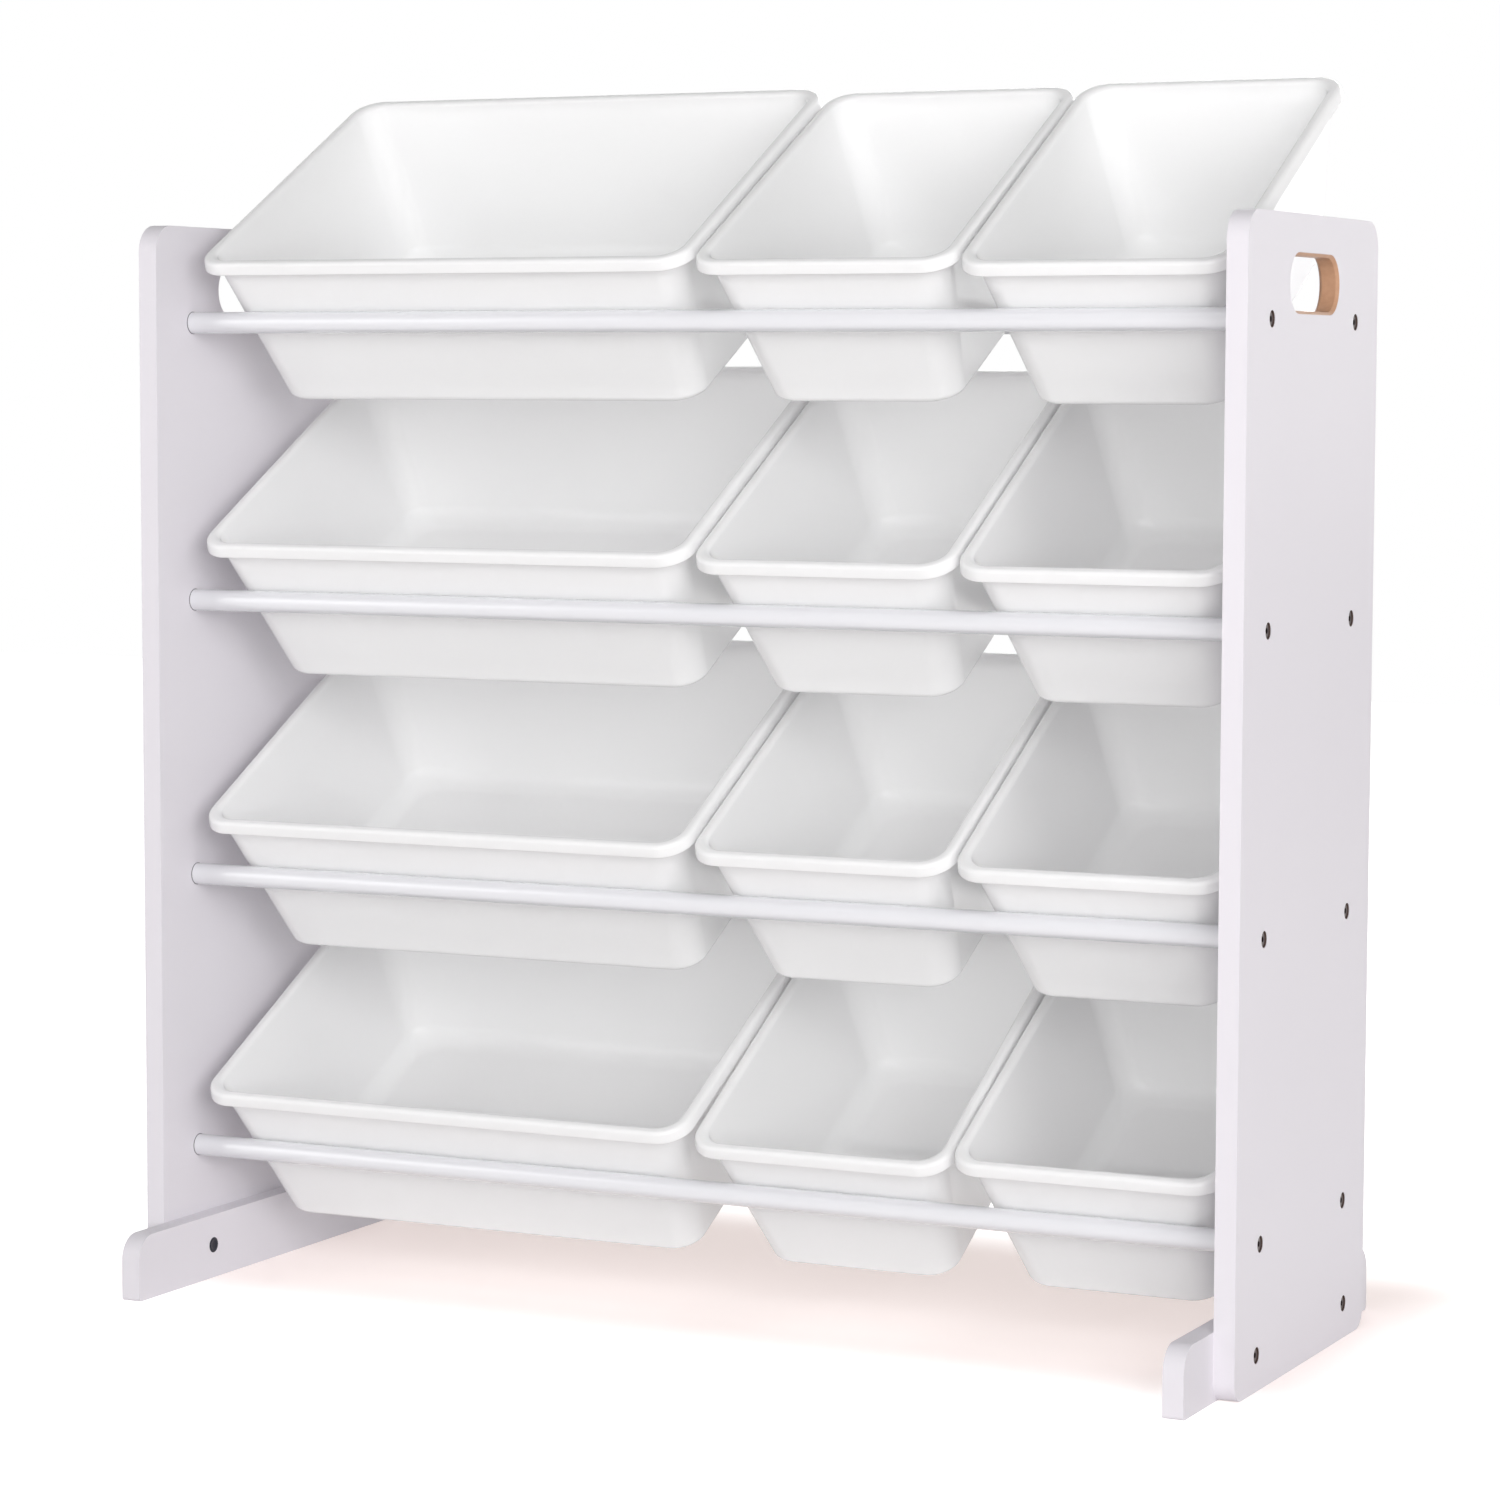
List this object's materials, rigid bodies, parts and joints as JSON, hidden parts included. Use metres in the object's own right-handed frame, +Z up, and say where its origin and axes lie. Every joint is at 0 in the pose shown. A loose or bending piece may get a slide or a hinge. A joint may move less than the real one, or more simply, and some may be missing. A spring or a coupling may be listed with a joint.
{
  "type": "toy storage organizer",
  "caption": "Upright rack of side panels, feet and cross rods that holds rows of leaning open-topped bins, which tip level or lift off their rods.",
  "frame": {"origin": "on the floor, midway between the side panels and midway between the ends of the feet", "axes": "+X to the right across the front, +Y to the rear, +Z up; the bins open towards -Y and up"},
  "size_m": [0.86, 0.385, 0.8944],
  "materials": {
    "painted_board": "smooth white paint",
    "painted_rod": "smooth white paint, slightly glossy",
    "bin_plastic": "satin white"
  },
  "bodies": {
    "rack": {"left_side_panel": "painted_board", "right_side_panel": "painted_board", "left_foot": "painted_board", "right_foot": "painted_board", "front_rod_1": "painted_rod", "rear_rod_1": "painted_rod", "front_rod_2": "painted_rod", "rear_rod_2": "painted_rod", "front_rod_3": "painted_rod", "rear_rod_3": "painted_rod", "front_rod_4": "painted_rod", "rear_rod_4": "painted_rod"},
    "large_bin_1": {"large_bin_1": "bin_plastic"},
    "middle_bin_1": {"middle_bin_1": "bin_plastic"},
    "right_bin_1": {"right_bin_1": "bin_plastic"},
    "large_bin_2": {"large_bin_2": "bin_plastic"},
    "middle_bin_2": {"middle_bin_2": "bin_plastic"},
    "right_bin_2": {"right_bin_2": "bin_plastic"},
    "large_bin_3": {"large_bin_3": "bin_plastic"},
    "middle_bin_3": {"middle_bin_3": "bin_plastic"},
    "right_bin_3": {"right_bin_3": "bin_plastic"},
    "large_bin_4": {"large_bin_4": "bin_plastic"},
    "middle_bin_4": {"middle_bin_4": "bin_plastic"},
    "right_bin_4": {"right_bin_4": "bin_plastic"}
  },
  "joints": [
    {"name": "large_bin_1_lift", "type": "slide", "parent": "rack", "child": "large_bin_1", "axis": [0, 0, 1], "range_m": [0, 0.17]},
    {"name": "middle_bin_1_lift", "type": "slide", "parent": "rack", "child": "middle_bin_1", "axis": [0, 0, 1], "range_m": [0, 0.17]},
    {"name": "right_bin_1_lift", "type": "slide", "parent": "rack", "child": "right_bin_1", "axis": [0, 0, 1], "range_m": [0, 0.17]},
    {"name": "large_bin_2_tip", "type": "hinge", "parent": "rack", "child": "large_bin_2", "pos_m": [0, 0.08775, 0.5126], "axis": [-1, 0, 0], "range_deg": [0, 29.3]},
    {"name": "middle_bin_2_tip", "type": "hinge", "parent": "rack", "child": "middle_bin_2", "pos_m": [0, 0.08775, 0.5126], "axis": [-1, 0, 0], "range_deg": [0, 29.5]},
    {"name": "right_bin_2_tip", "type": "hinge", "parent": "rack", "child": "right_bin_2", "pos_m": [0, 0.08775, 0.5126], "axis": [-1, 0, 0], "range_deg": [0, 29.7]},
    {"name": "large_bin_3_tip", "type": "hinge", "parent": "rack", "child": "large_bin_3", "pos_m": [0, 0.08775, 0.3063], "axis": [-1, 0, 0], "range_deg": [0, 28.9]},
    {"name": "middle_bin_3_tip", "type": "hinge", "parent": "rack", "child": "middle_bin_3", "pos_m": [0, 0.08775, 0.3063], "axis": [-1, 0, 0], "range_deg": [0, 28.9]},
    {"name": "right_bin_3_tip", "type": "hinge", "parent": "rack", "child": "right_bin_3", "pos_m": [0, 0.08775, 0.3063], "axis": [-1, 0, 0], "range_deg": [0, 29.4]},
    {"name": "large_bin_4_tip", "type": "hinge", "parent": "rack", "child": "large_bin_4", "pos_m": [0, 0.08775, 0.1], "axis": [-1, 0, 0], "range_deg": [0, 28.2]},
    {"name": "middle_bin_4_tip", "type": "hinge", "parent": "rack", "child": "middle_bin_4", "pos_m": [0, 0.08775, 0.1], "axis": [-1, 0, 0], "range_deg": [0, 29.8]},
    {"name": "right_bin_4_tip", "type": "hinge", "parent": "rack", "child": "right_bin_4", "pos_m": [0, 0.08775, 0.1], "axis": [-1, 0, 0], "range_deg": [0, 28.1]}
  ]
}
